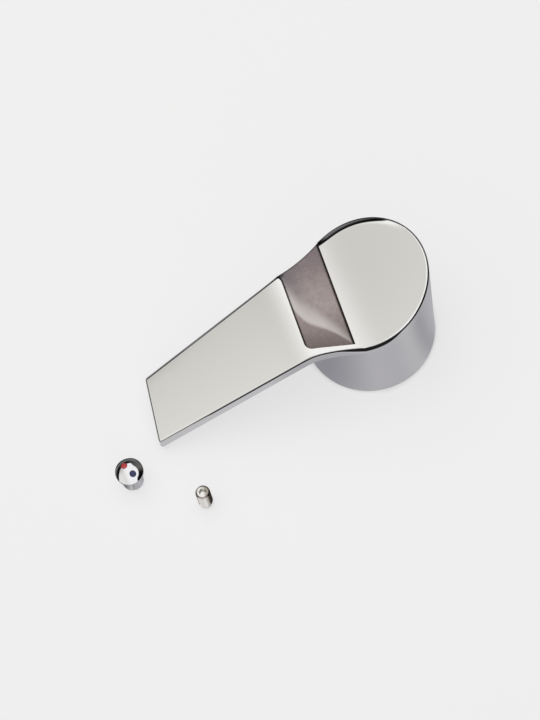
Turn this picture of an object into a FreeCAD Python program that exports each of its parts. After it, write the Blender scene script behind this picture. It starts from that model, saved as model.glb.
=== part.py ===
import FreeCAD, Part
import math
import os
import Sketcher

# Single-lever tap handle: a hollow round skirt with a sloped top that runs out into a flat lever,
# with the grub screw and the indicator plug that belong to it.
# Origin: centre of the skirt rim. +Z is the skirt axis, the lever reaches along -X.

os.makedirs("parts", exist_ok=True)
doc = FreeCAD.newDocument("tap_handle")
sheet = doc.addObject("Spreadsheet::Sheet", "sizes")

# Driving dimensions, in millimetres and degrees.
SIZES = {
    # Skirt: a thin round wall, opened a little at the rim to sit over the tap body.
    "skirt_radius": 22.5,
    "skirt_wall": 2.0,
    "seat_wall": 1.6,
    "seat_depth": 8.0,
    "rim_chamfer": 0.4,

    # Top: the round face falls towards the lever, eases off in the neck and falls again along the lever.
    "disc_height": 40.0,
    "disc_fall": 20.0,
    "neck_start": 8.0,
    "neck_fall": 3.2,
    "bend_reach": 24.0,
    "lever_fall": 26.3,
    "plate_thickness": 5.0,
    "disc_ease_radius": 30.0,
    "bend_radius": 14.0,

    # Lever outline seen from above: its sides taper evenly, and its tip is cut at a slant.
    "lever_reach": 80.0,
    "bend_width": 32.0,
    "tip_width": 23.4,
    "tip_slant": 10.0,
    "neck_blend_radius": 60.0,
    "tip_corner_radius": 1.2,
    "top_edge_radius": 0.9,

    # Thumb scoop in the neck: a dished floor with walls on three sides that runs out at the far edge.
    "scoop_start": 9.0,
    "scoop_end": 24.8,
    "scoop_near_start": 18.3,
    "scoop_near_end": 12.8,
    "scoop_slant": 4.0,
    "scoop_corner_radius": 3.4,
    "scoop_flare_radius": 3.0,
    "scoop_flare_gap": 0.25,
    "scoop_depth": 3.4,
    "scoop_floor_radius": 150.0,
    "scoop_middle": 17.0,
    "scoop_offset": 7.0,
    "scoop_floor_edge": 1.0,

    # Boss inside the skirt with the square stem socket, and the cross holes for screw and plug.
    "boss_radius": 8.0,
    "boss_start": 10.0,
    "socket_width": 7.2,
    "socket_depth": 15.0,
    "screw_height": 17.0,
    "tap_drill_radius": 2.1,

    # Grub screw, standing on its point.
    "screw_radius": 2.5,
    "screw_length": 10.0,
    "screw_chamfer": 0.45,
    "screw_point_radius": 1.3,
    "screw_point_length": 1.2,
    "cup_depth": 0.5,
    "hex_width": 2.5,
    "hex_depth": 3.0,
    "screw_x": -75.0,
    "screw_y": -35.0,

    # Indicator plug, standing on its split barrel.
    "plug_radius": 4.8,
    "plug_flange": 1.0,
    "plug_dome": 1.8,
    "barrel_radius": 3.6,
    "barrel_wall": 0.9,
    "barrel_length": 8.0,
    "slit_width": 0.7,
    "slit_length": 6.5,
    "plug_fit": 0.1,
    "mark_radius": 1.15,
    "mark_spacing": 4.2,
    "mark_turn": 124.0,
    "mark_depth": 0.3,
    "plug_turn": -10.0,
    "plug_x": -95.0,
    "plug_y": -17.5,

    # How far the cutting shapes run past the part.
    "cut_margin": 5.0,
}
for row, (name, value) in enumerate(SIZES.items(), 1):
    sheet.set("A%d" % row, name)
    sheet.set("B%d" % row, str(value))
    sheet.setAlias("B%d" % row, name)
doc.recompute()

# Heights that follow from the sizes, as expressions.
DISC_BACK = "(sizes.disc_height + (sizes.skirt_radius + sizes.cut_margin) * tan(sizes.disc_fall))"
NECK_TOP = "(sizes.disc_height - sizes.neck_start * tan(sizes.disc_fall))"
BEND_TOP = NECK_TOP[:-1] + " - (sizes.bend_reach - sizes.neck_start) * tan(sizes.neck_fall))"
TIP_LEAD = "(sizes.tip_width / 2 * tan(sizes.tip_slant))"
PAST_TIP = "(sizes.lever_reach + %s + sizes.cut_margin)" % TIP_LEAD
TIP_TOP = BEND_TOP[:-1] + " - (%s - sizes.bend_reach) * tan(sizes.lever_fall))" % PAST_TIP
STOCK_TOP = DISC_BACK[:-1] + " + sizes.cut_margin)"
PAST_BACK = "(sizes.skirt_radius + sizes.cut_margin)"


def new_body(label):
    body = doc.addObject("PartDesign::Body", label)
    body.Label = label
    return body


def new_sketch(body, role, label, offset=None):
    """Sketch on one of the body's own origin planes, moved along its normal by an expression."""
    sketch = body.newObject("Sketcher::SketchObject", label)
    plane = [item for item in body.Origin.OriginFeatures if item.Role == role][0]
    sketch.AttachmentSupport = (plane, [""])
    sketch.MapMode = "FlatFace"
    if offset:
        sketch.setExpression("AttachmentOffset.Base.z", offset)
    sketch.Visibility = False
    return sketch


def pin(sketch, kind, item, point, expression):
    """Hold one coordinate of a sketch point at the value of an expression."""
    if expression == "0":
        axis = -2 if kind == "DistanceX" else -1
        sketch.addConstraint(Sketcher.Constraint("PointOnObject", item, point, axis))
        return
    value = float(sketch.evalExpression(expression))
    index = sketch.addConstraint(Sketcher.Constraint(kind, -1, 1, item, point, value))
    sketch.setExpression("Constraints[%d]" % index, expression)


def add_outline(sketch, corners, arcs=()):
    """Closed outline through pinned corners; arcs give (corner before it, radius, side of its centre)."""
    points = [FreeCAD.Vector(float(sketch.evalExpression(x)), float(sketch.evalExpression(y)), 0)
              for x, y in corners]
    count = len(points)
    bent = {before: (radius, side) for before, radius, side in arcs}
    first = []
    for index in range(count):
        here, there = points[index], points[(index + 1) % count]
        if index not in bent:
            sketch.addGeometry(Part.LineSegment(here, there))
            first.append(1)
            continue
        radius, side = bent[index]
        value = float(sketch.evalExpression(radius))
        half = (there - here) / 2
        normal = FreeCAD.Vector(-half.y, half.x, 0).normalize() * side
        centre = here + half + normal * (value ** 2 - half.Length ** 2) ** 0.5
        start, end = (here, there) if side > 0 else (there, here)
        turn = [math.atan2(point.y - centre.y, point.x - centre.x) for point in (start, end)]
        sketch.addGeometry(Part.ArcOfCircle(Part.Circle(centre, FreeCAD.Vector(0, 0, 1), value), *turn))
        hold = sketch.addConstraint(Sketcher.Constraint("Radius", index, value))
        sketch.setExpression("Constraints[%d]" % hold, radius)
        first.append(1 if side > 0 else 2)
    for index in range(count):
        after = (index + 1) % count
        sketch.addConstraint(Sketcher.Constraint("Coincident", index, 3 - first[index], after, first[after]))
    for index, (x, y) in enumerate(corners):
        pin(sketch, "DistanceX", index, first[index], x)
        pin(sketch, "DistanceY", index, first[index], y)


def add_circle(sketch, radius, y="0", x="0"):
    value = float(sketch.evalExpression(radius))
    centre = FreeCAD.Vector(float(sketch.evalExpression(x)), float(sketch.evalExpression(y)), 0)
    item = sketch.addGeometry(Part.Circle(centre, FreeCAD.Vector(0, 0, 1), value))
    index = sketch.addConstraint(Sketcher.Constraint("Radius", item, value))
    sketch.setExpression("Constraints[%d]" % index, radius)
    pin(sketch, "DistanceX", item, 3, x)
    pin(sketch, "DistanceY", item, 3, y)


def add_feature(body, kind, label, sketch, length=None, up=False):
    """Pad or pocket; a pocket without a length cuts through everything on both sides."""
    feature = body.newObject("PartDesign::" + kind, label)
    feature.Profile = sketch
    if length:
        feature.setExpression("Length", length)
        feature.Reversed = up
    else:
        feature.Type = "ThroughAll"
        feature.SideType = "Symmetric"
    doc.recompute()
    body.Tip = feature
    return feature


def add_revolution(body, label, sketch):
    feature = body.newObject("PartDesign::Revolution", label)
    feature.Profile = sketch
    feature.ReferenceAxis = (sketch, ["V_Axis"])
    doc.recompute()
    body.Tip = feature
    return feature


def dress(body, kind, label, test, value):
    """Fillet or chamfer the edges of the body's last feature that pass a test."""
    base = body.Tip
    names = ["Edge%d" % (index + 1) for index, edge in enumerate(base.Shape.Edges) if test(edge)]
    feature = body.newObject("PartDesign::" + kind, label)
    feature.Base = (base, names)
    feature.setExpression("Radius" if kind == "Fillet" else "Size", value)
    doc.recompute()
    body.Tip = feature
    return feature


def upright(edge):
    return edge.BoundBox.XLength < 1e-4 and edge.BoundBox.YLength < 1e-4


def past_x(edge, expression):
    return edge.CenterOfMass.x < float(sheet.evalExpression(expression))


def at_skirt(edge):
    """Whether an edge lies on the outside of the skirt, by the reach of its middle from the axis."""
    middle = edge.CenterOfMass
    return abs(math.hypot(middle.x, middle.y) - float(sheet.evalExpression("sizes.skirt_radius"))) < 0.05


def outside_rim(edge):
    reach = float(sheet.evalExpression("sizes.skirt_radius"))
    return edge.BoundBox.ZMax < 1e-4 and abs(edge.BoundBox.XMax - reach) < 0.05


def facing(shape, edge):
    """How far the two faces beside an edge look upwards, lowest first."""
    point = edge.valueAt((edge.FirstParameter + edge.LastParameter) / 2)
    faces = shape.ancestorsOfType(edge, Part.Face)
    return sorted(face.normalAt(*face.Surface.parameter(point)).z for face in faces)


def round_the_top(edge):
    looks = facing(casting.Tip.Shape, edge)
    return len(looks) == 2 and looks[1] > 0.8 and abs(looks[0]) < 0.3


def beside_floor(edge):
    faces = scoop.Tip.Shape.ancestorsOfType(edge, Part.Face)
    return any(isinstance(face.Surface, Part.Sphere) for face in faces)


# Casting, outline from above: the round skirt stock and the tapered lever stock, blended together.
casting = new_body("casting")
round_plan = new_sketch(casting, "XY_Plane", "round_plan")
add_circle(round_plan, "sizes.skirt_radius")
add_feature(casting, "Pad", "round_stock", round_plan, STOCK_TOP)

SIDE_SLOPE = "((sizes.bend_width - sizes.tip_width) / 2 / (sizes.lever_reach - sizes.bend_reach))"
ROOT_HALF = "(sizes.bend_width / 2 + sizes.bend_reach * %s)" % SIDE_SLOPE
lever_plan = new_sketch(casting, "XY_Plane", "lever_plan")
add_outline(lever_plan, [
    ("0", ROOT_HALF),
    ("-(sizes.lever_reach - %s)" % TIP_LEAD, "sizes.tip_width / 2 + %s * %s" % (SIDE_SLOPE, TIP_LEAD)),
    ("-(sizes.lever_reach + %s)" % TIP_LEAD, "-sizes.tip_width / 2 + %s * %s" % (SIDE_SLOPE, TIP_LEAD)),
    ("0", "-" + ROOT_HALF),
])
add_feature(casting, "Pad", "lever_stock", lever_plan, STOCK_TOP)
dress(casting, "Fillet", "neck_blend",
      lambda edge: upright(edge) and at_skirt(edge) and past_x(edge, "0"), "sizes.neck_blend_radius")
dress(casting, "Fillet", "tip_corners",
      lambda edge: upright(edge) and past_x(edge, "-(sizes.bend_reach + sizes.lever_reach) / 2"),
      "sizes.tip_corner_radius")

# Side view of the plate: the same run of slopes and eased corners for its top and its underside.
def slope_run(drop, ease, bend):
    """Corners and arcs from the back of the disc to past the tip, lowered by an expression."""
    ease_run = "(%s) * tan((sizes.disc_fall - sizes.neck_fall) / 2)" % ease
    bend_run = "(%s) * tan((sizes.lever_fall - sizes.neck_fall) / 2)" % bend
    corners = [
        (PAST_BACK, DISC_BACK + drop),
        ("-sizes.neck_start + %s * cos(sizes.disc_fall)" % ease_run,
         NECK_TOP + drop + " + %s * sin(sizes.disc_fall)" % ease_run),
        ("-sizes.neck_start - %s * cos(sizes.neck_fall)" % ease_run,
         NECK_TOP + drop + " - %s * sin(sizes.neck_fall)" % ease_run),
        ("-sizes.bend_reach + %s * cos(sizes.neck_fall)" % bend_run,
         BEND_TOP + drop + " + %s * sin(sizes.neck_fall)" % bend_run),
        ("-sizes.bend_reach - %s * cos(sizes.lever_fall)" % bend_run,
         BEND_TOP + drop + " - %s * sin(sizes.lever_fall)" % bend_run),
        ("-" + PAST_TIP, TIP_TOP + drop),
    ]
    return corners, [(1, ease, -1), (3, bend, 1)]


# Underside of the plate: everything below it goes, which also slopes the ceiling of the skirt.
under_side = new_sketch(casting, "XZ_Plane", "under_side")
run, arcs = slope_run(" - sizes.plate_thickness", "sizes.disc_ease_radius + sizes.plate_thickness",
                      "sizes.bend_radius - sizes.plate_thickness")
add_outline(under_side, run + [("-" + PAST_TIP, "-sizes.cut_margin"), (PAST_BACK, "-sizes.cut_margin")], arcs)
add_feature(casting, "Pocket", "under_cut", under_side)

# Skirt wall and boss rise through the plate and are trimmed with it.
ring_plan = new_sketch(casting, "XY_Plane", "ring_plan")
add_circle(ring_plan, "sizes.skirt_radius")
add_circle(ring_plan, "sizes.skirt_radius - sizes.skirt_wall")
add_feature(casting, "Pad", "skirt", ring_plan, STOCK_TOP)
boss_plan = new_sketch(casting, "XY_Plane", "boss_plan", "sizes.boss_start")
add_circle(boss_plan, "sizes.boss_radius")
add_feature(casting, "Pad", "boss", boss_plan, STOCK_TOP + " - sizes.boss_start")

# Top of the disc, neck and lever.
top_side = new_sketch(casting, "XZ_Plane", "top_side")
run, arcs = slope_run("", "sizes.disc_ease_radius", "sizes.bend_radius")
ABOVE = STOCK_TOP + " + sizes.cut_margin"
add_outline(top_side, run + [("-" + PAST_TIP, ABOVE), (PAST_BACK, ABOVE)], arcs)
add_feature(casting, "Pocket", "top_cut", top_side)

# Rim seat, stem socket, tapped hole in the boss and plug hole in the skirt.
seat_plan = new_sketch(casting, "XY_Plane", "seat_plan")
add_circle(seat_plan, "sizes.skirt_radius - sizes.seat_wall")
add_feature(casting, "Pocket", "seat", seat_plan, "sizes.seat_depth", True)
socket_plan = new_sketch(casting, "XY_Plane", "socket_plan", "sizes.boss_start")
HALF_SOCKET = "sizes.socket_width / 2"
add_outline(socket_plan, [
    (HALF_SOCKET, HALF_SOCKET),
    ("-" + HALF_SOCKET, HALF_SOCKET),
    ("-" + HALF_SOCKET, "-" + HALF_SOCKET),
    (HALF_SOCKET, "-" + HALF_SOCKET),
])
add_feature(casting, "Pocket", "socket", socket_plan, "sizes.socket_depth", True)
tap_side = new_sketch(casting, "YZ_Plane", "tap_side")
add_circle(tap_side, "sizes.tap_drill_radius", "sizes.screw_height")
add_feature(casting, "Pocket", "tapped_hole", tap_side, "sizes.boss_radius + sizes.cut_margin")
plug_side = new_sketch(casting, "YZ_Plane", "plug_side", "-(sizes.boss_radius + sizes.cut_margin)")
add_circle(plug_side, "sizes.barrel_radius + sizes.plug_fit", "sizes.screw_height")
add_feature(casting, "Pocket", "plug_hole", plug_side, "sizes.skirt_radius")

dress(casting, "Chamfer", "rim_edge", outside_rim, "sizes.rim_chamfer")
dress(casting, "Fillet", "top_edges", round_the_top, "sizes.top_edge_radius")

# Thumb scoop: the outline of its walls, met with a large ball that gives the dished floor.
scoop_walls = new_body("scoop_walls")
scoop_plan = new_sketch(scoop_walls, "XY_Plane", "scoop_plan")
FAR = "(sizes.skirt_radius + sizes.cut_margin)"
SLANT = " + (%s) * tan(sizes.scoop_slant)"
FLARE = "(sizes.bend_width / 2 + sizes.scoop_flare_gap)"
PAST_FLARE = "-(sizes.scoop_end + 2 * sizes.scoop_flare_radius)"
add_outline(scoop_plan, [
    ("-sizes.scoop_start" + SLANT % FAR, FAR),
    ("-sizes.scoop_start" + SLANT % "-sizes.scoop_near_start", "-sizes.scoop_near_start"),
    ("-sizes.scoop_end" + SLANT % "-sizes.scoop_near_end", "-sizes.scoop_near_end"),
    ("-sizes.scoop_end" + SLANT % FLARE, FLARE),
    (PAST_FLARE, FLARE),
    (PAST_FLARE, FAR),
])
add_feature(scoop_walls, "Pad", "scoop_prism", scoop_plan, STOCK_TOP)
dress(scoop_walls, "Fillet", "scoop_corner",
      lambda edge: upright(edge) and past_x(edge, "-sizes.scoop_middle") and edge.CenterOfMass.y < 0,
      "sizes.scoop_corner_radius")
dress(scoop_walls, "Fillet", "scoop_flare",
      lambda edge: upright(edge) and not past_x(edge, "-(sizes.scoop_end + sizes.scoop_flare_radius)")
      and past_x(edge, "-sizes.scoop_middle") and edge.CenterOfMass.y > 0,
      "sizes.scoop_flare_radius")
scoop_ball = doc.addObject("Part::Sphere", "scoop_ball")
scoop_ball.setExpression("Radius", "sizes.scoop_floor_radius")
scoop_ball.setExpression("Placement.Base.x", "-sizes.scoop_middle")
scoop_ball.setExpression("Placement.Base.y", "-sizes.scoop_offset")
scoop_ball.setExpression("Placement.Base.z", NECK_TOP
                         + " - (sizes.scoop_middle - sizes.neck_start) * tan(sizes.neck_fall)"
                         + " - sizes.scoop_depth + sizes.scoop_floor_radius")
scoop_block = doc.addObject("Part::Common", "scoop_block")
scoop_block.Base = scoop_walls
scoop_block.Tool = scoop_ball
doc.recompute()
scoop = new_body("scoop")
scoop.BaseFeature = scoop_block
doc.recompute()
dress(scoop, "Fillet", "scoop_floor_edges", beside_floor, "sizes.scoop_floor_edge")
lever_handle = doc.addObject("Part::Cut", "lever_handle")
lever_handle.Base = casting
lever_handle.Tool = scoop

# Grub screw: a plain shank with a cup point, and a hexagon socket in the top.
grub_screw = new_body("grub_screw")
shank_side = new_sketch(grub_screw, "XZ_Plane", "shank_side")
add_outline(shank_side, [
    ("0", "sizes.cup_depth"),
    ("sizes.screw_point_radius", "0"),
    ("sizes.screw_radius", "sizes.screw_point_length"),
    ("sizes.screw_radius", "sizes.screw_length - sizes.screw_chamfer"),
    ("sizes.screw_radius - sizes.screw_chamfer", "sizes.screw_length"),
    ("0", "sizes.screw_length"),
])
add_revolution(grub_screw, "shank", shank_side)
hex_plan = new_sketch(grub_screw, "XY_Plane", "hex_plan", "sizes.screw_length")
add_outline(hex_plan, [
    ("sizes.hex_width / sqrt(3) * cos(%d)" % turn, "sizes.hex_width / sqrt(3) * sin(%d)" % turn)
    for turn in range(30, 390, 60)
])
add_feature(grub_screw, "Pocket", "hex_socket", hex_plan, "sizes.hex_depth")
grub_screw.setExpression("Placement.Base.x", "sizes.screw_x")
grub_screw.setExpression("Placement.Base.y", "sizes.screw_y")

# Indicator plug: a domed flange on a hollow barrel that two crossed slits make springy.
indicator_plug = new_body("indicator_plug")
plug_side_view = new_sketch(indicator_plug, "XZ_Plane", "plug_side_view")
FLANGE_TOP = "sizes.barrel_length + sizes.plug_flange"
DOME_RADIUS = "(sizes.plug_radius ^ 2 + sizes.plug_dome ^ 2) / (2 * sizes.plug_dome)"
add_outline(plug_side_view, [
    ("sizes.barrel_radius - sizes.barrel_wall", "0"),
    ("sizes.barrel_radius", "0"),
    ("sizes.barrel_radius", "sizes.barrel_length"),
    ("sizes.plug_radius", "sizes.barrel_length"),
    ("sizes.plug_radius", FLANGE_TOP),
    ("0", FLANGE_TOP + " + sizes.plug_dome"),
    ("0", "sizes.barrel_length"),
    ("sizes.barrel_radius - sizes.barrel_wall", "sizes.barrel_length"),
], [(4, DOME_RADIUS, 1)])
add_revolution(indicator_plug, "button", plug_side_view)
for role, label in (("XZ_Plane", "slit_along_y"), ("YZ_Plane", "slit_along_x")):
    slit_side = new_sketch(indicator_plug, role, label + "_side")
    add_outline(slit_side, [
        ("-sizes.slit_width / 2", "-sizes.cut_margin"),
        ("sizes.slit_width / 2", "-sizes.cut_margin"),
        ("sizes.slit_width / 2", "sizes.slit_length"),
        ("-sizes.slit_width / 2", "sizes.slit_length"),
    ])
    add_feature(indicator_plug, "Pocket", label, slit_side)
# Two round recesses in the dome hold the hot and cold marks.
MARK_FLOOR = FLANGE_TOP + " + sqrt((%s) ^ 2 - (sizes.mark_spacing / 2) ^ 2)" % DOME_RADIUS
MARK_FLOOR += " - (%s) + sizes.plug_dome - sizes.mark_depth" % DOME_RADIUS
mark_plan = new_sketch(indicator_plug, "XY_Plane", "mark_plan", MARK_FLOOR)
for side in ("", "-"):
    add_circle(mark_plan, "sizes.mark_radius", side + "sizes.mark_spacing / 2 * sin(sizes.mark_turn)",
               side + "sizes.mark_spacing / 2 * cos(sizes.mark_turn)")
add_feature(indicator_plug, "Pocket", "marks", mark_plan, "sizes.plug_dome", True)
indicator_plug.Placement.Rotation.Axis = FreeCAD.Vector(0, 0, 1)
indicator_plug.setExpression("Placement.Rotation.Angle", "sizes.plug_turn")
indicator_plug.setExpression("Placement.Base.x", "sizes.plug_x")
indicator_plug.setExpression("Placement.Base.y", "sizes.plug_y")

doc.recompute()
for item in doc.Objects:
    if "Invalid" in item.State or "Error" in item.State:
        raise ValueError("%s did not build" % item.Label)
for piece in (lever_handle, grub_screw, indicator_plug):
    if piece.Shape.isNull() or not piece.Shape.isValid() or len(piece.Shape.Solids) != 1:
        raise ValueError("%s is not one valid solid" % piece.Label)
    piece.Shape.exportStep("parts/%s.step" % piece.Label)
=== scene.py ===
import math

import bmesh
import bpy
from mathutils import Matrix, Vector


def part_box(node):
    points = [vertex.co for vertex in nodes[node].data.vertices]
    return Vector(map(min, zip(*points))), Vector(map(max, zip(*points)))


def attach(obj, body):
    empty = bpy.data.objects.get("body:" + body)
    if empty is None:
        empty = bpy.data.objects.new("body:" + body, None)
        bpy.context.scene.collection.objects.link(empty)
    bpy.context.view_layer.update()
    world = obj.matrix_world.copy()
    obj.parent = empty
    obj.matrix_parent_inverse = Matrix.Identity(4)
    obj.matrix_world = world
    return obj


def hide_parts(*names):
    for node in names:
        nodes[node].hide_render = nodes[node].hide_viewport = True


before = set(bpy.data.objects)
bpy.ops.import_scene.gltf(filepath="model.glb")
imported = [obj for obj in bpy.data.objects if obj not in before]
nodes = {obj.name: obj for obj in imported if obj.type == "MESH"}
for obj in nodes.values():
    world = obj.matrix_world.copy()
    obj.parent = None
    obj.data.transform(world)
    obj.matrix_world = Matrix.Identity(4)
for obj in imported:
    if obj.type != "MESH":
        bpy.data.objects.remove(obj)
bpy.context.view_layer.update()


# Casting: the handle itself, round skirt, sloped top, neck and lever in one zinc die casting.
# It is polished and chrome plated all over; only the thumb scoop in the neck is left satin.
# The bare casting comes from the solid model, so this section only gives it its two finishes.
def paint(code):
    """sRGB hex colour as the linear RGBA that shader sockets take."""
    parts = [int(code[at:at + 2], 16) / 255 for at in (1, 3, 5)]
    return [part / 12.92 if part <= 0.04045 else ((part + 0.055) / 1.055) ** 2.4 for part in parts] + [1]


def add(tree, kind, sockets, stops=(), **settings):
    """Add one shader node: its settings, its links and values, and the stops of its ramp or curve."""
    node = tree.nodes.new("ShaderNode" + kind)
    for name, value in settings.items():
        setattr(node, name, value)
    for name, value in sockets.items():
        if isinstance(value, bpy.types.Node):
            value = next(output for output in value.outputs if output.enabled)
        if isinstance(value, bpy.types.NodeSocket):
            tree.links.new(node.inputs[name], value)
        else:
            node.inputs[name].default_value = value
    for index, (at, value) in enumerate(stops):
        if kind == "ValToRGB":
            elements = node.color_ramp.elements
            element = elements[index] if index < 2 else elements.new(at)
            element.position = at
            element.color = paint(value)
        else:
            points = node.mapping.curves[0].points
            point = points[index] if index < 2 else points.new(at, value)
            point.location = (at, value)
            node.mapping.update()
    return node


def fresh(name):
    """New material with an empty node tree, and its Object coordinates."""
    material = bpy.data.materials.new(name)
    material.use_nodes = True
    material.node_tree.nodes.clear()
    return material, material.node_tree, add(material.node_tree, "TexCoord", {}).outputs["Object"]


MM = 0.001
chrome, tree, place = fresh("polished chrome plating on zinc")
spot = add(tree, "SeparateXYZ", {"Vector": place}).outputs
normal = add(tree, "NewGeometry", {}).outputs["Normal"]
face = add(tree, "SeparateXYZ", {"Vector": normal}).outputs

# A wiped film blurs the mirror in faint patches.
chrome_tint, smear_length, mirror_blur, film_blur = "#f1f0ee", 7 * MM, 0.03, 0.09
smear = add(tree, "TexNoise", {"Vector": place, "Scale": 1 / smear_length, "Detail": 4.0,
                               "Roughness": 0.6})
film = add(tree, "MapRange", {"Value": smear, "From Min": 0.35, "From Max": 0.75,
                              "To Min": mirror_blur, "To Max": film_blur})

# Height of the top surface: the slope of the round top, or the run of the neck, its bend and the lever.
disc_height, disc_slope = 40.0 * MM, math.tan(math.radians(20.0))
neck_start, neck_slope = -8.0 * MM, math.tan(math.radians(3.2))
bend_middle, bend_half, lever_slope = -24.0 * MM, 2.71 * MM, math.tan(math.radians(26.3))
neck_root = disc_height + neck_start * disc_slope - neck_start * neck_slope
bent = add(tree, "Math", {0: bend_middle + bend_half, 1: spot["X"]}, operation="SUBTRACT")
bent = add(tree, "Math", {0: bent, 1: 0.0}, operation="MAXIMUM")
arc = add(tree, "Math", {0: bent, 1: 2 * bend_half}, operation="MINIMUM")
sag = add(tree, "Math", {0: arc, 1: -0.5, 2: bent}, operation="MULTIPLY_ADD")
sag = add(tree, "Math", {0: sag, 1: arc}, operation="MULTIPLY")
run = add(tree, "Math", {0: spot["X"], 1: neck_slope, 2: neck_root}, operation="MULTIPLY_ADD")
run = add(tree, "Math", {0: sag, 1: (neck_slope - lever_slope) / (2 * bend_half), 2: run},
          operation="MULTIPLY_ADD")
disc = add(tree, "Math", {0: spot["X"], 1: disc_slope, 2: disc_height}, operation="MULTIPLY_ADD")
top = add(tree, "Math", {0: disc, 1: run}, operation="MAXIMUM")
under = add(tree, "Math", {0: top, 1: spot["Z"]}, operation="SUBTRACT")

# Lean of the top surface: buffing lets the round top and the lever run out into the neck over a longer
# way than the solid's fillets. The round top is buffed flatter than the lever, and leans back a little.
crown_slope = math.tan(math.radians(2.4)) / (12 * MM)
flatness, lean_back = 0.2, math.tan(math.radians(4.0))
disc_from, disc_to, skin_end, skin_start = -13 * MM, -3 * MM, 0.08 * MM, 0.03 * MM
leans = ((-48.0, 26.3), (-42.0, 25.8), (-36.0, 23.4), (-31.0, 20.0), (-27.0, 15.4), (-24.5, 10.5),
         (-22.5, 6.5), (-20.5, 3.9), (-18.0, 3.2), (-13.0, 3.2), (-11.2, 10.5), (-9.2, 14.4),
         (-7.0, 16.2), (-5.0, 17.7), (-3.0, 18.9), (-1.0, 19.5), (3.0, 20.0))
lean_from, lean_to, steepest = leans[0][0] * MM, leans[-1][0] * MM, 0.6
lean_stops = [((at * MM - lean_from) / (lean_to - lean_from), math.tan(math.radians(lean)) / steepest)
              for at, lean in leans]
way = add(tree, "MapRange", {"Value": spot["X"], "From Min": lean_from, "From Max": lean_to})
slope = add(tree, "FloatCurve", {"Value": way}, stops=lean_stops)
slope = add(tree, "Math", {0: slope, 1: -steepest}, operation="MULTIPLY")
lean = add(tree, "Math", {0: spot["Y"], 1: -flatness * crown_slope, 2: lean_back},
           operation="MULTIPLY_ADD")
on_disc = add(tree, "MapRange", {"Value": spot["X"], "From Min": disc_from, "From Max": disc_to})
lean = add(tree, "Math", {0: lean, 1: on_disc}, operation="MULTIPLY")
slope = add(tree, "CombineXYZ", {"X": slope, "Y": lean, "Z": 1.0})
slope = add(tree, "VectorMath", {0: slope}, operation="NORMALIZE")
on_top = add(tree, "MapRange", {"Value": under, "From Min": skin_end, "From Max": skin_start})
normal = add(tree, "Mix", {"Factor": on_top, "A": normal, "B": slope}, data_type="VECTOR")

# Slow waves that hand polishing leaves in a casting bend the reflections a little.
wave_length, wave_height = 26 * MM, 0.012 * MM
waves = add(tree, "TexNoise", {"Vector": place, "Scale": 1 / wave_length, "Detail": 1.0})
wavy = add(tree, "Bump", {"Height": waves, "Normal": normal, "Strength": 1.0, "Distance": wave_height})

# Buffing also crowns the faces across the lever, and rolls the far rim of the round top off, so that it
# mirrors the dark.
rim_start, rim_end, rim_slope = 19.4 * MM, 21.8 * MM, math.tan(math.radians(22))
rim_from, rim_to = -12 * MM, -4 * MM
level = add(tree, "VectorMath", {0: place, 1: (1, 1, 0)}, operation="MULTIPLY")
reach = add(tree, "VectorMath", {0: level}, operation="LENGTH")
outward = add(tree, "VectorMath", {0: level}, operation="NORMALIZE")
far_side = add(tree, "SeparateXYZ", {"Vector": outward}).outputs["Y"]
far_side = add(tree, "MapRange", {"Value": far_side, "From Min": 0.35, "From Max": 0.92},
               interpolation_type="SMOOTHSTEP")
past_neck = add(tree, "MapRange", {"Value": spot["X"], "From Min": rim_from, "From Max": rim_to})
far_side = add(tree, "Math", {0: far_side, 1: past_neck}, operation="MULTIPLY")
rolled = add(tree, "MapRange", {"Value": reach, "From Min": rim_start, "From Max": rim_end,
                                "To Max": rim_slope}, interpolation_type="SMOOTHSTEP")
rolled = add(tree, "Math", {0: rolled, 1: far_side}, operation="MULTIPLY")
tilt = add(tree, "VectorMath", {0: outward, "Scale": rolled}, operation="SCALE")
tilt = add(tree, "VectorMath", {0: place, 1: (0, crown_slope, 0), 2: tilt}, operation="MULTIPLY_ADD")

# The far edge of the lever is rolled off in the same way.
bend_width, tip_width, tip_reach = 32.0 * MM, 23.4 * MM, -80.0 * MM
far_start, far_end, far_slope = 1.2 * MM, 0.8 * MM, 0.4
lever_from, lever_to = -21.0 * MM, -22.5 * MM
taper = (bend_width - tip_width) / 2 / (bend_middle - tip_reach)
far_edge = add(tree, "Math", {0: spot["X"], 1: taper, 2: bend_width / 2 - bend_middle * taper},
               operation="MULTIPLY_ADD")
inset = add(tree, "Math", {0: far_edge, 1: spot["Y"]}, operation="SUBTRACT")
rolled = add(tree, "MapRange", {"Value": inset, "From Min": far_start, "From Max": far_end,
                                "To Max": far_slope}, interpolation_type="SMOOTHSTEP")
on_lever = add(tree, "MapRange", {"Value": spot["X"], "From Min": lever_from, "From Max": lever_to})
rolled = add(tree, "Math", {0: rolled, 1: on_lever}, operation="MULTIPLY")

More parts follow.
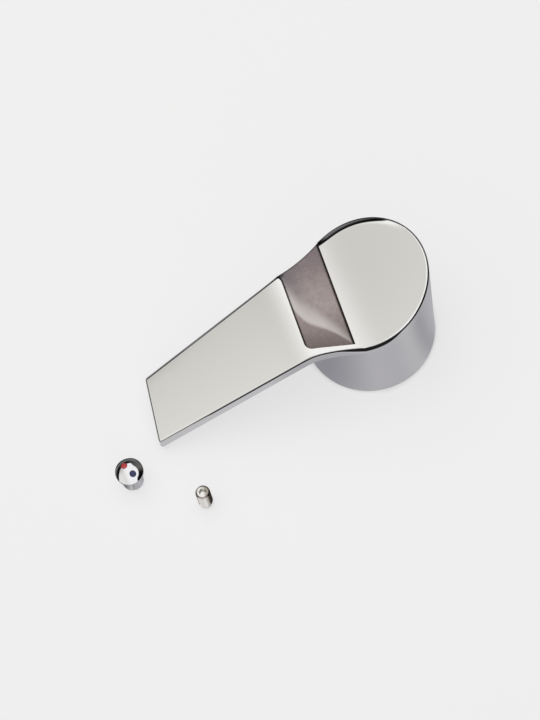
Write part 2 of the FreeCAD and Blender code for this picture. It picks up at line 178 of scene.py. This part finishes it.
# The near edge is rolled over on its outer side, most below the round top: it mirrors the dark as a
# fine line.
edge_foot, edge_reach, edge_slope = 0.6 * MM, 1.6 * MM, 0.6
crescent_reach, crescent_way = 4.5 * MM, Vector((-0.25, -0.97, 0))
facing = add(tree, "VectorMath", {0: outward, 1: crescent_way}, operation="DOT_PRODUCT")
rolled_to = add(tree, "MapRange", {"Value": facing, "From Min": 0.87, "From Max": 0.99,
                                   "To Min": edge_reach, "To Max": crescent_reach},
                interpolation_type="SMOOTHSTEP")
lift = add(tree, "MapRange", {"Value": under, "From Min": rolled_to, "From Max": edge_foot,
                              "To Max": edge_slope}, interpolation_type="SMOOTHSTEP")
lift = add(tree, "Math", {0: lift, 1: face["Z"]}, operation="SUBTRACT")
lift = add(tree, "Math", {0: lift, 1: 0.0}, operation="MAXIMUM")
near = add(tree, "MapRange", {"Value": face["Y"], "From Min": -0.35, "From Max": -0.65})
lift = add(tree, "Math", {0: lift, 1: near}, operation="MULTIPLY")
edges = add(tree, "CombineXYZ", {"Y": rolled, "Z": lift})
tilt = add(tree, "VectorMath", {0: tilt, 1: edges}, operation="ADD")
buffed = add(tree, "VectorMath", {0: wavy, 1: tilt}, operation="ADD")
buffed = add(tree, "VectorMath", {0: buffed}, operation="NORMALIZE")

# Where the scoop is: under the run of the neck and its bend, past the near wall, between the cross
# walls, facing up.
scoop_start, scoop_end, scoop_slant = -9.0 * MM, -24.8 * MM, math.tan(math.radians(4.0))
near_start, near_end, scoop_length = -18.3 * MM, -12.8 * MM, 38 * MM
flare, sill, fringe = 1.3 * MM, 0.1 * MM, 0.15 * MM
wall_slope = (near_end - near_start) / (scoop_end - scoop_start)
depth = add(tree, "Math", {0: run, 1: spot["Z"]}, operation="SUBTRACT")
wall = add(tree, "Math", {0: spot["X"], 1: wall_slope, 2: near_start - scoop_start * wall_slope},
           operation="MULTIPLY_ADD")
inward = add(tree, "Math", {0: spot["Y"], 1: wall}, operation="SUBTRACT")
along = add(tree, "Math", {0: spot["Y"], 1: -scoop_slant, 2: spot["X"]}, operation="MULTIPLY_ADD")
scoop = 1.0
for value, outside, inside in ((depth, sill, sill + fringe),
                               (inward, -fringe, 0),
                               (face["Z"], 0.25, 0.5),
                               (along, scoop_end - flare, scoop_end - flare + fringe),
                               (along, scoop_start + fringe, scoop_start)):
    within = add(tree, "MapRange", {"Value": value, "From Min": outside, "From Max": inside})
    scoop = add(tree, "Math", {0: scoop, 1: within}, operation="MULTIPLY")

# Blasted floor of the scoop: a mauve grey that darkens to both ends and cools in the far corner, in soft
# clouds with a fine sparkling grain.
cloud_length, grain_length, grain_height, satin_blur = 2.4 * MM, 0.3 * MM, 0.016 * MM, 0.3
beyond = add(tree, "MapRange", {"Value": inward, "From Max": scoop_length})
aside = add(tree, "MapRange", {"Value": along, "From Min": scoop_start, "From Max": scoop_end})
satin = add(tree, "ValToRGB", {"Fac": beyond},
            stops=((0.0, "#675d59"), (0.2, "#8e827f"), (0.45, "#a99d9a"), (0.65, "#9f9391"),
                   (0.85, "#877b7c"), (1.0, "#7d7174")))
clouds = add(tree, "TexNoise", {"Vector": place, "Scale": 1 / cloud_length, "Detail": 5.0,
                                "Roughness": 0.6})
cloudy = add(tree, "MapRange", {"Value": clouds, "From Min": 0.4, "From Max": 0.75, "To Max": 0.35})
cool = add(tree, "MapRange", {"Value": aside, "From Min": 0.45, "From Max": 1.0, "To Max": 0.85})
remote = add(tree, "MapRange", {"Value": beyond, "From Min": 0.35, "From Max": 0.8})
cool = add(tree, "Math", {0: cool, 1: remote}, operation="MULTIPLY")
grain = add(tree, "TexNoise", {"Vector": place, "Scale": 1 / grain_length, "Detail": 2.0})
sparkle = add(tree, "MapRange", {"Value": grain, "From Min": 0.52, "From Max": 0.8, "To Max": 0.5})
# Painted highlight: a paler streak, a soft band of reflected light, runs from the lever's side to the
# near corner of the round top.
band_line = add(tree, "FloatCurve", {"Value": aside},
             stops=((0.0, 0.03), (0.2, 0.14), (0.4, 0.22), (0.62, 0.28), (0.76, 0.32), (0.86, 0.38),
                    (1.0, 0.52)))
off = add(tree, "Math", {0: beyond, 1: band_line}, operation="SUBTRACT")
width = add(tree, "MapRange", {"Value": aside, "To Min": 0.025, "To Max": 0.075})
off = add(tree, "Math", {0: off, 1: width}, operation="DIVIDE")
strong = add(tree, "MapRange", {"Value": aside, "From Max": 0.5, "To Min": 0.4})
crisp = add(tree, "MapRange", {"Value": off, "From Min": -1.0, "From Max": 0.0, "To Max": strong},
            interpolation_type="SMOOTHSTEP")
faint = add(tree, "MapRange", {"Value": off, "From Min": 4.6, "From Max": 0.0, "To Max": 0.9},
            interpolation_type="SMOOTHSTEP")
painted_band = add(tree, "Math", {0: crisp, 1: faint}, operation="MULTIPLY")
# Painted shade darkens the floor along the foot of the walls.
wall_shade_width = 0.9 * MM
gap = add(tree, "Math", {0: along, 1: scoop_end}, operation="SUBTRACT")
gap = add(tree, "Math", {0: gap, 1: inward}, operation="MINIMUM")
other_gap = add(tree, "Math", {0: scoop_start, 1: along}, operation="SUBTRACT")
gap = add(tree, "Math", {0: gap, 1: other_gap}, operation="MINIMUM")
wall_shade = add(tree, "MapRange", {"Value": gap, "From Max": wall_shade_width, "To Min": 0.65, "To Max": 0.0})
# The floor rolls over its far edge, and a painted dark reflection draws it as a dark line.
dark_edge_radius = 1.0 * MM
dark_edge_line = add(tree, "Bevel", {"Radius": dark_edge_radius}, samples=6)
dark_edge_line = add(tree, "SeparateXYZ", {"Vector": dark_edge_line}).outputs["Y"]
dark_edge_line = add(tree, "MapRange", {"Value": dark_edge_line, "From Min": 0.08, "From Max": 0.35})
# Into the satin go the clouds, the cool corner and the grain as its own tone, then the painted highlight
# band, the painted shade at the walls and the painted dark reflection of the far edge.
for share, shade in ((cloudy, "#695e60"), (cool, "#67646b"), (sparkle, "#b9aeae"), (painted_band, "#cbc5c2"),
                     (wall_shade, "#3f3936"), (dark_edge_line, "#2b2728")):
    satin = add(tree, "Mix", {"Factor": share, "A": satin, "B": paint(shade)}, data_type="RGBA")
rough = add(tree, "Bump", {"Height": grain, "Normal": buffed, "Strength": 0.35,
                           "Distance": grain_height})

tone = add(tree, "Mix", {"Factor": scoop, "A": paint(chrome_tint), "B": satin}, data_type="RGBA")
blur = add(tree, "Mix", {"Factor": scoop, "A": film, "B": satin_blur}, data_type="FLOAT")
lie = add(tree, "Mix", {"Factor": scoop, "A": buffed, "B": rough}, data_type="VECTOR")
plating = add(tree, "BsdfPrincipled", {"Base Color": tone, "Roughness": blur, "Normal": lie,
                                       "Metallic": 1.0})
add(tree, "OutputMaterial", {"Surface": plating})
nodes["lever_handle"].data.materials[0] = chrome


# Grub screw: a hardened steel set screw that clamps the handle on the stem, here out of its hole.
# It is turned and rolled with a coarse M5 thread, with a hexagon socket above and a cup point below.
low, high = [Vector(corner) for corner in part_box("grub_screw")]
screw_foot = Vector(((low.x + high.x) / 2, (low.y + high.y) / 2, low.z))
screw_radius, screw_length = (high.x - low.x) / 2, high.z - low.z
pitch, thread_depth, screw_chamfer = 0.8 * MM, 0.45 * MM, 0.5 * MM
point_radius, point_length, cup_radius, cup_depth = 1.3 * MM, 1.2 * MM, 0.3 * MM, 0.5 * MM
hex_width, hex_depth, drill_depth = 2.5 * MM, 3.0 * MM, 0.6 * MM
steps, crease = 40, math.radians(35)
turns = math.ceil(screw_length / pitch) + 1

shank = bmesh.new()
root_radius = screw_radius - thread_depth
flank = [(root_radius, 0), (root_radius, 0.12), (screw_radius, 0.48), (screw_radius, 0.62),
         (root_radius, 1)]
rib = [shank.verts.new((radius, 0, (share - 1) * pitch)) for radius, share in flank]
ribs = [shank.edges.new(pair) for pair in zip(rib, rib[1:])]
bmesh.ops.spin(shank, geom=rib + ribs, axis=(0, 0, 1), dvec=(0, 0, pitch / steps),
               angle=2 * math.pi * turns, steps=steps * turns)
bmesh.ops.remove_doubles(shank, verts=shank.verts, dist=0.004 * MM)
for height, side in ((point_length, -1), (screw_length, 1)):
    bmesh.ops.bisect_plane(shank, geom=shank.verts[:] + shank.edges[:] + shank.faces[:], dist=0.001 * MM,
                           plane_co=(0, 0, height), plane_no=(0, 0, side), clear_outer=True)
for vert in shank.verts:
    lead = max(point_length + screw_chamfer - vert.co.z, vert.co.z - screw_length + screw_chamfer, 0)
    shrink = min(1, (screw_radius - lead) / vert.co.xy.length)
    vert.co.x *= shrink
    vert.co.y *= shrink


def end_loop(height):
    """Open edges of the shank at one height."""
    return [edge for edge in shank.edges if edge.is_boundary
            and all(abs(vert.co.z - height) < 0.01 * MM for vert in edge.verts)]


def draw_in(edges, radius, height):
    """Extrude an open loop and gather it on a circle."""
    grown = bmesh.ops.extrude_edge_only(shank, edges=edges)["geom"]
    for vert in grown:
        if isinstance(vert, bmesh.types.BMVert):
            side = vert.co.xy.normalized() * radius
            vert.co = (side.x, side.y, height)
    return [edge for edge in grown if isinstance(edge, bmesh.types.BMEdge)]


tip = draw_in(end_loop(point_length), point_radius, 0)
cup = draw_in(tip, cup_radius, cup_depth)
bmesh.ops.contextual_create(shank, geom=cup)
mouth = bmesh.ops.create_circle(shank, segments=6, radius=hex_width / math.sqrt(3),
                                matrix=Matrix.Translation((0, 0, screw_length)))["verts"]
mouth = list({edge for vert in mouth for edge in vert.link_edges})
collar = [edge for edge in end_loop(screw_length) if edge not in mouth]
bmesh.ops.bridge_loops(shank, edges=collar + mouth)
sunk = bmesh.ops.extrude_edge_only(shank, edges=mouth)["geom"]
corners = [part for part in sunk if isinstance(part, bmesh.types.BMVert)]
bmesh.ops.translate(shank, verts=corners, vec=(0, 0, -hex_depth))
hexagon = [part for part in sunk if isinstance(part, bmesh.types.BMEdge)]
bottom = bmesh.ops.contextual_create(shank, geom=hexagon)["faces"]
bmesh.ops.poke(shank, faces=bottom, offset=0)
lowest = [vert for vert in shank.verts if vert.co.xy.length < 1e-9 and vert.co.z > point_length]
bmesh.ops.translate(shank, verts=lowest, vec=(0, 0, -drill_depth))
bmesh.ops.translate(shank, verts=shank.verts, vec=screw_foot)
bmesh.ops.recalc_face_normals(shank, faces=shank.faces)
mesh = bpy.data.meshes.new("grub_screw_threaded")
shank.to_mesh(mesh)
shank.free()
mesh.shade_smooth()
mesh.set_sharp_from_angle(angle=crease)
screw = bpy.data.objects.new("grub_screw_threaded", mesh)
bpy.context.scene.collection.objects.link(screw)

# Bright steel with painted shade: darker brown in the roots of the thread, and brown down one side.
root_shade_tone, crest_tone, side_shade_tone = "#8f8478", "#f2f1ee", "#7f7466"
streak_length, side_wander, side_from, side_to = 1.5 * MM, 1.6 * MM, 0.5 * MM, 1.9 * MM
steel, tree, place = fresh("steel with painted shade")
local = add(tree, "VectorMath", {0: place, 1: screw_foot}, operation="SUBTRACT")
level = add(tree, "VectorMath", {0: local, 1: (1, 1, 0)}, operation="MULTIPLY")
reach = add(tree, "VectorMath", {0: level}, operation="LENGTH")
# Painted shade in the roots of the thread: darker brown at the root radius, bright at the crests.
off = add(tree, "Math", {0: reach, 1: root_radius}, operation="SUBTRACT")
off = add(tree, "Math", {0: off}, operation="ABSOLUTE")
crest = add(tree, "MapRange", {"Value": off, "From Max": thread_depth})
bright = add(tree, "Mix", {"Factor": crest, "A": paint(root_shade_tone), "B": paint(crest_tone)},
             data_type="RGBA")
# Painted shade down one side: browner towards +x, its edge wandering in streaks.
streaks = add(tree, "TexNoise", {"Vector": local, "Scale": 1 / streak_length, "Detail": 3.0})
sideways = add(tree, "SeparateXYZ", {"Vector": local}).outputs["X"]
side_reach = add(tree, "Math", {0: streaks, 1: side_wander, 2: sideways}, operation="MULTIPLY_ADD")
shaded_side = add(tree, "MapRange", {"Value": side_reach, "From Min": side_from, "From Max": side_to,
                              "To Max": 0.75}, interpolation_type="SMOOTHSTEP")
tone = add(tree, "Mix", {"Factor": shaded_side, "A": bright, "B": paint(side_shade_tone)}, data_type="RGBA")
blur = add(tree, "MapRange", {"Value": streaks, "To Min": 0.08, "To Max": 0.26})
metal = add(tree, "BsdfPrincipled", {"Base Color": tone, "Roughness": blur, "Metallic": 1.0})
add(tree, "OutputMaterial", {"Surface": metal})
mesh.materials.append(steel)
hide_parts("grub_screw")
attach(screw, "root")


# Indicator plug: a domed ABS button that closes the screw's hole and shows hot and cold.
# It is moulded with a split barrel that springs into the hole, and chrome plated all over.
low, high = [Vector(corner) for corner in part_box("indicator_plug")]
plug_top = Vector(((low.x + high.x) / 2, (low.y + high.y) / 2, high.z))
barrel_radius, barrel_length, shade_margin = 3.6 * MM, 8.0 * MM, 0.05 * MM
plug_tint, bore_shade_tone = "#eeeef0", "#2c2c2f"
button, tree, place = fresh("chrome plating on ABS")
# Orange peel of plated plastic: a shallow, slow ripple in a bright mirror.
peel_length, peel_height = 2.2 * MM, 0.004 * MM
peel = add(tree, "TexNoise", {"Vector": place, "Scale": 1 / peel_length, "Detail": 2.0})
ripple = add(tree, "Bump", {"Height": peel, "Strength": 1.0, "Distance": peel_height})
haze = add(tree, "MapRange", {"Value": peel, "To Min": mirror_blur, "To Max": film_blur})
# Painted shade: inside the barrel and its slits the colour turns a dark grey, where shade falls.
level = add(tree, "VectorMath", {0: place, 1: plug_top}, operation="SUBTRACT")
level = add(tree, "VectorMath", {0: level, 1: (1, 1, 0)}, operation="MULTIPLY")
reach = add(tree, "VectorMath", {0: level}, operation="LENGTH")
bore_shade = add(tree, "MapRange", {"Value": reach, "From Min": barrel_radius - shade_margin,
                              "From Max": barrel_radius - 3 * shade_margin})
height = add(tree, "SeparateXYZ", {"Vector": place}).outputs["Z"]
below = add(tree, "Math", {0: height, 1: barrel_length - shade_margin}, operation="LESS_THAN")
bore_shade = add(tree, "Math", {0: bore_shade, 1: below}, operation="MULTIPLY")
tone = add(tree, "Mix", {"Factor": bore_shade, "A": paint(plug_tint), "B": paint(bore_shade_tone)}, data_type="RGBA")
metal = add(tree, "BsdfPrincipled", {"Base Color": tone, "Roughness": haze, "Normal": ripple,
                                     "Metallic": 1.0})
add(tree, "OutputMaterial", {"Surface": metal})
nodes["indicator_plug"].data.materials[0] = button


# Marks: a red and a blue fill of enamel in the two round recesses of the plug's dome.
# They are poured in, so each has the recess's flat floor below and follows the dome above, a hair lower.
plug_radius, dome_rise = (high.x - low.x) / 2, 1.8 * MM
dome_radius = (plug_radius ** 2 + dome_rise ** 2) / (2 * dome_rise)
mark_radius, mark_reach, mark_turn = 1.13 * MM, 2.1 * MM, math.radians(114)
mark_depth, mark_gap = 0.28 * MM, 0.03 * MM
for name, turn, deep, thin in (("hot_mark", mark_turn, "#8e1d24", "#c8474a"),
                               ("cold_mark", mark_turn + math.pi, "#0f1230", "#2c3468")):
    drop = bmesh.new()
    bmesh.ops.create_uvsphere(drop, u_segments=48, v_segments=16, radius=mark_radius)
    middle = Vector((mark_reach * math.cos(turn), mark_reach * math.sin(turn), 0))
    mark_floor = math.sqrt(dome_radius ** 2 - mark_reach ** 2) - mark_depth
    for vert in drop.verts:
        side = middle.xy + vert.co.xy
        dome = math.sqrt(dome_radius ** 2 - side.length_squared) - mark_gap
        vert.co = (side.x, side.y, dome if vert.co.z > -0.001 * MM else mark_floor)
    bmesh.ops.translate(drop, verts=drop.verts, vec=plug_top - Vector((0, 0, dome_radius)))
    mesh = bpy.data.meshes.new(name)
    drop.to_mesh(mesh)
    drop.free()
    mesh.shade_smooth()
    mesh.set_sharp_from_angle(angle=crease)
    mark = bpy.data.objects.new(name, mesh)
    bpy.context.scene.collection.objects.link(mark)
    # Poured enamel: deep colour that is a shade lighter in soft patches, under a clear gloss.
    enamel, tree, place = fresh("glossy enamel of the " + name)
    pool = add(tree, "TexNoise", {"Vector": place, "Scale": 1 / mark_radius, "Detail": 2.0})
    body = add(tree, "ValToRGB", {"Fac": pool}, stops=((0.35, deep), (0.75, thin)))
    gloss = add(tree, "BsdfPrincipled", {"Base Color": body, "Roughness": 0.08, "IOR": 1.5})
    add(tree, "OutputMaterial", {"Surface": gloss})
    mesh.materials.append(enamel)
    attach(mark, "root")


# Floor: a plain pale sheet that takes the soft shadow of the pieces.
# Painted reflections: polished faces see it glow as grey bands round the skirt, the plug and the screw,
# paler under the lever, ending in the dark.
bpy.ops.mesh.primitive_plane_add(size=4)
floor = bpy.context.object
floor.name = "floor"
sheet_tone, reflected_tone, reflected_dark_tone, lamp_share = "#efefef", "#c4c4c8", "#1c1c1f", 0.25
sheet, tree, place = fresh("pale paper")
# Painted reflection rings round the skirt, the plug and the screw: centre, inner and outer radius, and
# the shades round the ring.
painted_reflections = (
    (Vector((0, 0, 0)), 36 * MM, 48 * MM, (
        (0.0, "#a6a6ab"), (0.15, "#b4b4b9"), (0.27, "#8d8c94"), (0.33, "#929199"), (0.4, "#a6a5ab"),
        (0.46, "#bab9be"), (0.53, "#aeadb3"), (0.59, "#c2c2c6"), (0.635, "#97979d"), (0.68, "#aeaeb3"),
        (0.75, "#b8b8bd"), (0.87, "#96969c"), (1.0, "#a6a6ab"))),
    (plug_top, 8 * MM, 11 * MM, (
        (0.0, "#a5a5a9"), (0.25, "#4b4b50"), (0.35, "#8f8f94"), (0.43, "#d9d9da"), (0.52, "#a5a5a9"),
        (0.62, "#c9c9cb"), (0.75, "#6d6d72"), (1.0, "#a5a5a9"))),
    (screw_foot, 6 * MM, 8 * MM, (
        (0.0, "#a89d92"), (0.25, "#c9c6c2"), (0.4, "#fbfaf8"), (0.5, "#f1efec"), (0.55, "#a89d92"),
        (0.63, "#7d7166"), (0.75, "#b5aca3"), (1.0, "#a89d92"))),
)
tint = paint(reflected_tone)
for centre, inner, outer, shades in painted_reflections:
    local = add(tree, "VectorMath", {0: place, 1: (centre.x, centre.y, 0)}, operation="SUBTRACT")
    sides = add(tree, "SeparateXYZ", {"Vector": local}).outputs
    front = add(tree, "Math", {0: sides["Y"], 1: -1.0}, operation="MULTIPLY")
    bearing = add(tree, "Math", {0: sides["X"], 1: front}, operation="ARCTAN2")
    bearing = add(tree, "MapRange", {"Value": bearing, "From Min": -math.pi, "From Max": math.pi})
    reflected_band = add(tree, "ValToRGB", {"Fac": bearing}, stops=shades)
    reflected_band.color_ramp.interpolation = "B_SPLINE"
    reach = add(tree, "VectorMath", {0: local}, operation="LENGTH")
    outside = add(tree, "MapRange", {"Value": reach, "From Min": inner, "From Max": outer})
    tint = add(tree, "Mix", {"Factor": outside, "A": reflected_band, "B": tint}, data_type="RGBA")
# Round the lever's middle the painted reflection fades to the dark, sooner across the lever than along
# it.
fade_start, fade_end, fade_shift, fade_squeeze = 80 * MM, 130 * MM, 20 * MM, 1.7
apart = add(tree, "VectorMath", {0: place, 1: (1, fade_squeeze, 1), 2: (fade_shift, 0, 0)},
            operation="MULTIPLY_ADD")
apart = add(tree, "VectorMath", {0: apart}, operation="LENGTH")
fade = add(tree, "MapRange", {"Value": apart, "From Min": fade_start, "From Max": fade_end})
tint = add(tree, "Mix", {"Factor": fade, "A": tint, "B": paint(reflected_dark_tone)}, data_type="RGBA")
mirrored = add(tree, "Emission", {"Color": tint})
# Painted shade: where a piece encloses it, as inside the plug's barrel, the glow of the sheet is
# darkened.
enclosed = add(tree, "AmbientOcclusion", {"Distance": 5 * MM}, samples=8).outputs["AO"]
shade_factor = add(tree, "MapRange", {"Value": enclosed, "From Min": 0.3, "From Max": 0.6, "To Min": 0.02})
plain = add(tree, "Emission", {"Color": paint(sheet_tone), "Strength": shade_factor})
lit = add(tree, "BsdfDiffuse", {"Color": paint(sheet_tone)})
shaded = add(tree, "MixShader", {0: lamp_share, 1: plain, 2: lit})
in_mirror = add(tree, "LightPath", {}).outputs["Is Glossy Ray"]
both = add(tree, "MixShader", {0: in_mirror, 1: shaded, 2: mirrored})
add(tree, "OutputMaterial", {"Surface": both})
floor.data.materials.append(sheet)


# Room: a bright ceiling, warm grey to the left where the lever and the round top look.
# Near the horizon it is dark, higher at the back and on the right: that draws the thin black edges.
world = bpy.data.worlds.new("room")
bpy.context.scene.world = world
world.use_nodes = True
tree = world.node_tree
tree.nodes.clear()
way = add(tree, "SeparateXYZ", {"Vector": add(tree, "TexCoord", {}).outputs["Generated"]}).outputs
# Skyline: how high the dark stands, from the front to the back and on the right.
front_height, back_height, right_height, softness = 0.2, 0.52, 0.7, 0.04
back = add(tree, "MapRange", {"Value": way["Y"], "From Min": -0.5, "From Max": 0.55,
                              "To Min": front_height, "To Max": back_height},
           interpolation_type="SMOOTHSTEP")
side = add(tree, "MapRange", {"Value": way["X"], "From Min": 0.0, "From Max": 0.5,
                              "To Max": right_height}, interpolation_type="SMOOTHSTEP")
skyline = add(tree, "Math", {0: back, 1: side}, operation="MAXIMUM")
above = add(tree, "Math", {0: way["Z"], 1: skyline}, operation="SUBTRACT")
shown = add(tree, "MapRange", {"Value": above, "From Min": -softness, "From Max": softness},
            interpolation_type="SMOOTHSTEP")
# Ceiling: white overhead and to the right, a warm grey to the left, deeper at the back there.
across = add(tree, "MapRange", {"Value": way["X"], "From Min": -1.0, "From Max": 0.2})
ceiling = add(tree, "ValToRGB", {"Fac": across},
              stops=((0.1, "#f1f0ed"), (0.26, "#ecebe8"), (0.38, "#e9e8e4"), (0.46, "#f2f1ef"),
                     (0.56, "#fbfbf9"), (0.68, "#ffffff")))
deeper = add(tree, "MapRange", {"Value": way["Y"], "From Min": 0.2, "From Max": 0.6, "To Max": 0.45})
left = add(tree, "MapRange", {"Value": way["X"], "From Min": -0.25, "From Max": -0.5})
deeper = add(tree, "Math", {0: deeper, 1: left}, operation="MULTIPLY")
ceiling = add(tree, "Mix", {"Factor": deeper, "A": ceiling, "B": paint("#9e9b96")}, data_type="RGBA")
# Dark walls: greyer at the back on the right, and hazy near the horizon at the left and the back.
right = add(tree, "MapRange", {"Value": way["X"], "From Min": 0.1, "From Max": 0.8})
behind = add(tree, "MapRange", {"Value": way["Y"], "From Min": -0.1, "From Max": 0.3})
greyer = add(tree, "Math", {0: right, 1: behind}, operation="MULTIPLY")
walls = add(tree, "Mix", {"Factor": greyer, "A": paint("#0c0c0d"), "B": paint("#6a6866")},
            data_type="RGBA")
leftward = add(tree, "MapRange", {"Value": way["X"], "From Min": 0.2, "From Max": -0.1})
hazy = add(tree, "Math", {0: leftward, 1: behind}, operation="MAXIMUM")
haze = add(tree, "MapRange", {"Value": way["Z"], "From Min": 0.3, "From Max": 0.0, "To Max": hazy})
walls = add(tree, "Mix", {"Factor": haze, "A": walls, "B": paint("#8a898d")}, data_type="RGBA")
sky = add(tree, "Mix", {"Factor": shown, "A": walls, "B": ceiling}, data_type="RGBA")
add(tree, "OutputWorld", {"Surface": add(tree, "Background", {"Color": sky})})


# Softbox: one large square lamp above the far side, for the soft shadow.
# It gives the enamel and the sheet their tone, and the polished faces don't mirror it.
lamp = bpy.data.objects.new("softbox", bpy.data.lights.new("softbox", "AREA"))
lamp.data.size = 0.8
lamp.data.energy = 2.8
lamp.location = (-0.1, 0.15, 0.8)
lamp.rotation_euler = (Vector((0, 0, 0)) - lamp.location).to_track_quat("-Z", "Y").to_euler()
lamp.visible_glossy = False
bpy.context.scene.collection.objects.link(lamp)


# Camera: a long lens that looks down on the handle from the near side, turned a little to the left.
# It is rolled so that the lever points down, with the handle in the middle of the upright picture.
turn, elevation, roll = math.radians(-8.75), math.radians(66.43), math.radians(14.59)
distance, left_shift, down_shift = 863.0 * MM, 34.42 * MM, 10.18 * MM
rightward = Vector((math.cos(turn), math.sin(turn), 0))
away = Vector((-math.sin(turn), math.cos(turn), 0))
up = away * math.sin(elevation) + Vector((0, 0, math.cos(elevation)))
toward = Vector((0, 0, math.sin(elevation))) - away * math.cos(elevation)
rightward, up = (rightward * math.cos(roll) - up * math.sin(roll),
                 rightward * math.sin(roll) + up * math.cos(roll))
camera = bpy.data.objects.new("camera", bpy.data.cameras.new("camera"))
camera.matrix_world = Matrix((rightward, up, toward)).transposed().to_4x4()
camera.location = toward * distance - rightward * left_shift - up * down_shift
camera.data.lens = 125.0
camera.data.clip_start = 0.01
bpy.context.scene.collection.objects.link(camera)
bpy.context.scene.camera = camera
bpy.context.scene.view_settings.view_transform = "Standard"
